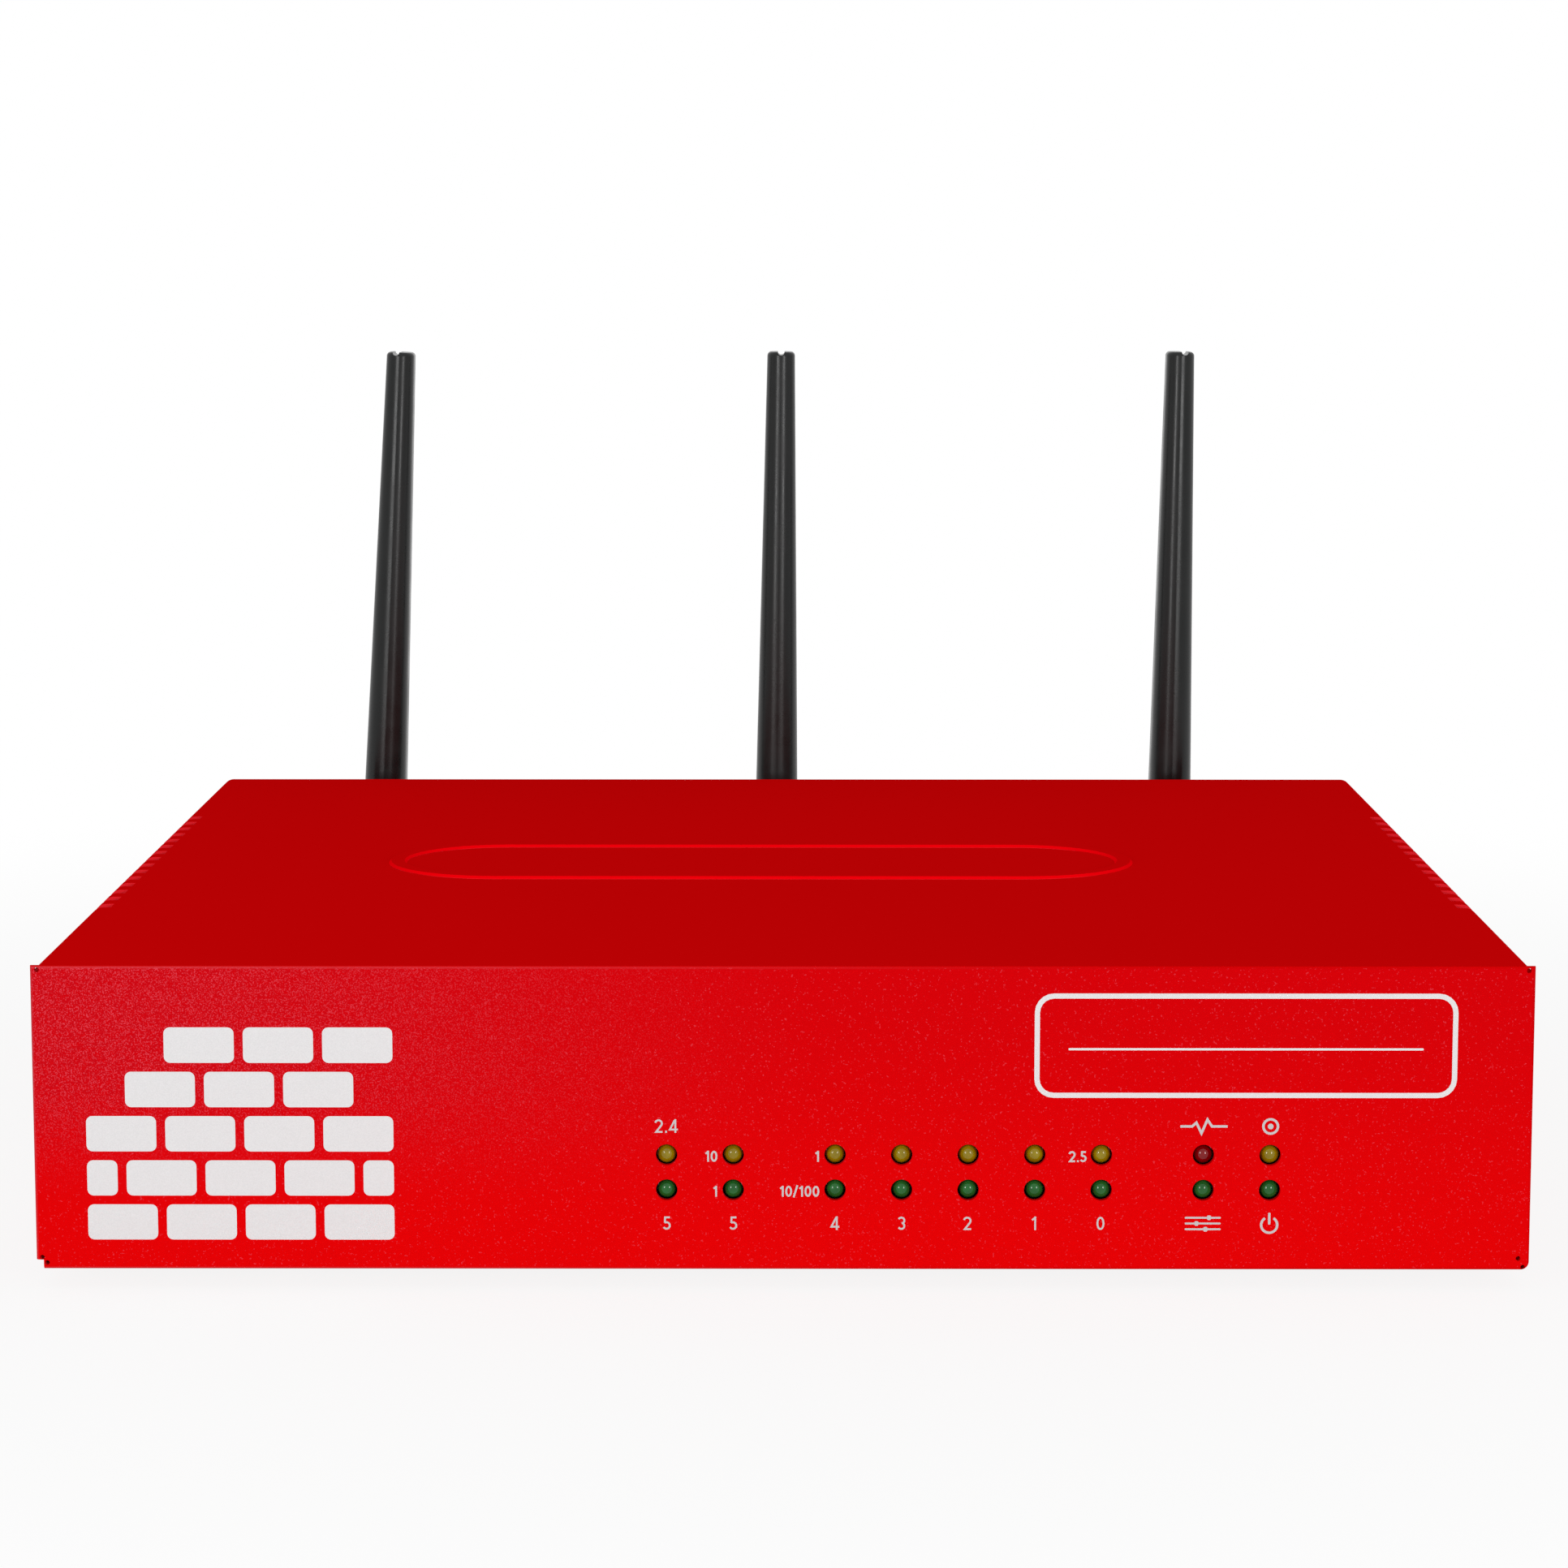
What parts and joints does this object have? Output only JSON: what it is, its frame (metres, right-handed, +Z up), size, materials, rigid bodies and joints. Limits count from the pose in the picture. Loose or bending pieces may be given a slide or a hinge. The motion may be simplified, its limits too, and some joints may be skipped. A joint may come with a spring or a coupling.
{
  "type": "firewall appliance",
  "caption": "Flat red desktop network firewall box with front indicator lights, vented top edges, rear sockets and hinged black antennas.",
  "frame": {"origin": "middle of the footprint of box and antennas, on the surface that the feet stand on", "axes": "+X to the right as seen from the front panel, +Y to the rear sockets, +Z up"},
  "size_m": [0.216, 0.2283, 0.1286],
  "materials": {
    "red_paint": "powder coat, fine speckle",
    "black_plastic": "satin black moulding",
    "black_rubber": "matt",
    "steel": "zinc plated",
    "gold_plate": "gold flash",
    "aluminium": "anodised",
    "board_green": "solder mask over glass laminate",
    "chip_black": "moulded package",
    "amber_lens": "tinted clear lens",
    "green_lens": "tinted clear lens",
    "red_lens": "tinted clear lens",
    "white_plastic": "gloss",
    "lead_black": "extruded jacket"
  },
  "bodies": {
    "chassis": {"amber_lights": "amber_lens", "antenna_jack_centre": "gold_plate", "antenna_jack_left": "gold_plate", "antenna_jack_nuts": "gold_plate", "antenna_jack_right": "gold_plate", "antenna_lead_centre": "lead_black", "antenna_lead_left": "lead_black", "antenna_lead_right": "lead_black", "base_pan": "red_paint", "board_screws": "steel", "board_standoffs": "steel", "coin_cell": "steel", "coin_cell_holder": "black_plastic", "console_jack": "steel", "coupling_nut_centre": "black_plastic", "coupling_nut_left": "black_plastic", "coupling_nut_right": "black_plastic", "cover": "red_paint", "cover_screws": "steel", "fan_frame": "black_plastic", "fan_screws": "steel", "foot_front_left": "black_rubber", "foot_front_right": "black_rubber", "foot_rear_left": "black_rubber", "foot_rear_right": "black_rubber", "green_lights": "green_lens", "ground_screw": "steel", "heat_sink": "aluminium", "heat_sink_screws": "steel", "light_holders": "black_plastic", "main_board": "board_green", "memory_chips": "chip_black", "network_jack_0": "steel", "network_jack_1": "steel", "network_jack_2": "steel", "network_jack_3": "steel", "network_jack_4": "steel", "power_jack": "black_plastic", "power_switch_frame": "black_plastic", "processor": "chip_black", "radio_card": "board_green", "radio_card_screw": "steel", "radio_card_socket": "black_plastic", "red_light": "red_lens", "reset_switch": "black_plastic", "sfp_cage": "steel", "usb_jack": "steel"},
    "antenna_base_left": {"swivel_base_left": "black_plastic", "hinge_pin_left": "black_plastic"},
    "antenna_blade_left": {"blade_left": "black_plastic"},
    "antenna_base_centre": {"swivel_base_centre": "black_plastic", "hinge_pin_centre": "black_plastic"},
    "antenna_blade_centre": {"blade_centre": "black_plastic"},
    "antenna_base_right": {"swivel_base_right": "black_plastic", "hinge_pin_right": "black_plastic"},
    "antenna_blade_right": {"blade_right": "black_plastic"},
    "fan": {"fan_rotor": "black_plastic"},
    "reset_plunger": {"reset_button": "white_plastic"},
    "rocker": {"power_rocker": "black_plastic"}
  },
  "joints": [
    {"name": "antenna_swivel_left", "type": "hinge", "parent": "chassis", "child": "antenna_base_left", "pos_m": [-0.079, 0.10885, 0.035], "axis": [0, 1, 0], "range_deg": [-92, 38]},
    {"name": "antenna_elbow_left", "type": "hinge", "parent": "antenna_base_left", "child": "antenna_blade_left", "pos_m": [-0.079, 0.10885, 0.035], "axis": [-0.9989, 0, 0.0471], "range_deg": [0, 90]},
    {"name": "antenna_swivel_centre", "type": "hinge", "parent": "chassis", "child": "antenna_base_centre", "pos_m": [-0.0021, 0.10885, 0.035], "axis": [0, 1, 0], "range_deg": [-42, 42]},
    {"name": "antenna_elbow_centre", "type": "hinge", "parent": "antenna_base_centre", "child": "antenna_blade_centre", "pos_m": [-0.0021, 0.10885, 0.035], "axis": [-0.9999, 0, 0.0105], "range_deg": [0, 90]},
    {"name": "antenna_swivel_right", "type": "hinge", "parent": "chassis", "child": "antenna_base_right", "pos_m": [0.0748, 0.10885, 0.035], "axis": [0, 1, 0], "range_deg": [-41, 88]},
    {"name": "antenna_elbow_right", "type": "hinge", "parent": "antenna_base_right", "child": "antenna_blade_right", "pos_m": [0.0748, 0.10885, 0.035], "axis": [-0.9999, 0, 0.0122], "range_deg": [0, 90]},
    {"name": "fan_spin", "type": "hinge", "parent": "chassis", "child": "fan", "pos_m": [-0.03, -0.03015, 0.0276], "axis": [0, 0, 1], "continuous": true},
    {"name": "reset_press", "type": "slide", "parent": "chassis", "child": "reset_plunger", "axis": [0, -1, 0], "range_m": [0, 0.0008], "stiffness_N_per_m": 1500},
    {"name": "power_rocker_tilt", "type": "hinge", "parent": "chassis", "child": "rocker", "pos_m": [0.07366, 0.09105, 0.0205], "axis": [-1, 0, 0], "range_deg": [0, 20]}
  ]
}
